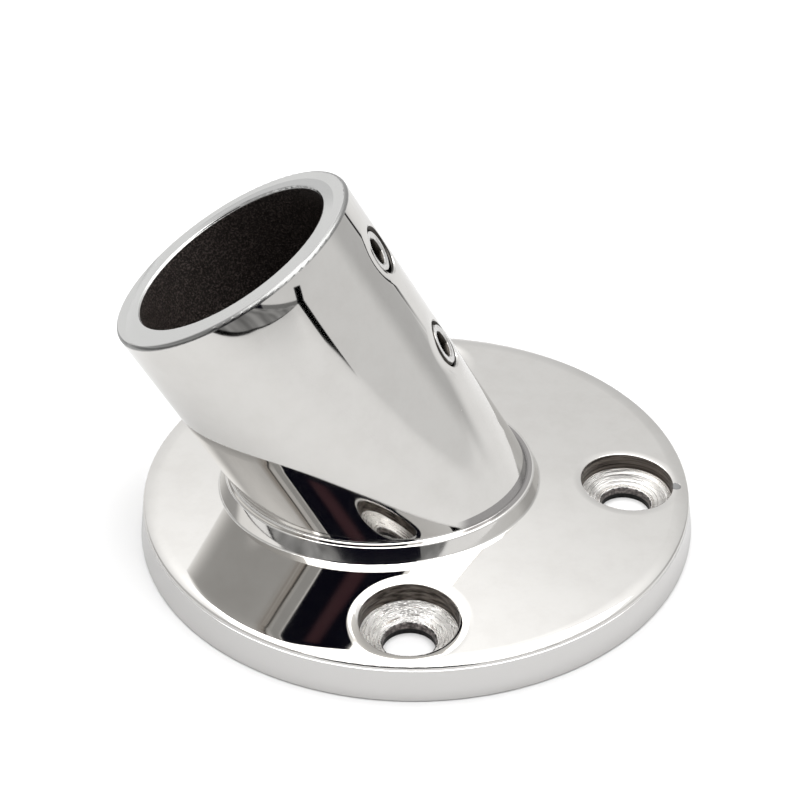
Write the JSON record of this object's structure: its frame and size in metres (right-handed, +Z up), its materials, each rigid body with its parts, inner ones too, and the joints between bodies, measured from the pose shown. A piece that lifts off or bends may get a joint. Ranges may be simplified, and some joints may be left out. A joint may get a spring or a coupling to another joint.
{
  "type": "stanchion base",
  "caption": "Round deck flange with a tube socket leaning at 60 degrees, a low collar round the socket's foot, countersunk mounting holes, and set screws that grip the tube.",
  "frame": {"origin": "centre of the flange's underside, midway between the two side screw holes", "axes": "+Z up, square to the deck; the socket leans 30 degrees from +Z towards -X; the side screw holes lie on Y"},
  "size_m": [0.0707, 0.07, 0.0451],
  "materials": {
    "polished_stainless": "mirror-polished cast 316 stainless steel, with the bore left as cast and the screw holes as machined",
    "screw_stainless": "bright machined stainless steel"
  },
  "bodies": {
    "base": {"base_casting": "polished_stainless"},
    "upper_set_screw": {"upper_set_screw": "screw_stainless"},
    "lower_set_screw": {"lower_set_screw": "screw_stainless"}
  },
  "joints": [
    {"name": "upper_set_screw_travel", "type": "slide", "parent": "base", "child": "upper_set_screw", "axis": [0.866, 0, 0.5], "range_m": [-0.00065, 0.002]},
    {"name": "lower_set_screw_travel", "type": "slide", "parent": "base", "child": "lower_set_screw", "axis": [0.866, 0, 0.5], "range_m": [-0.001, 0.00165]}
  ]
}
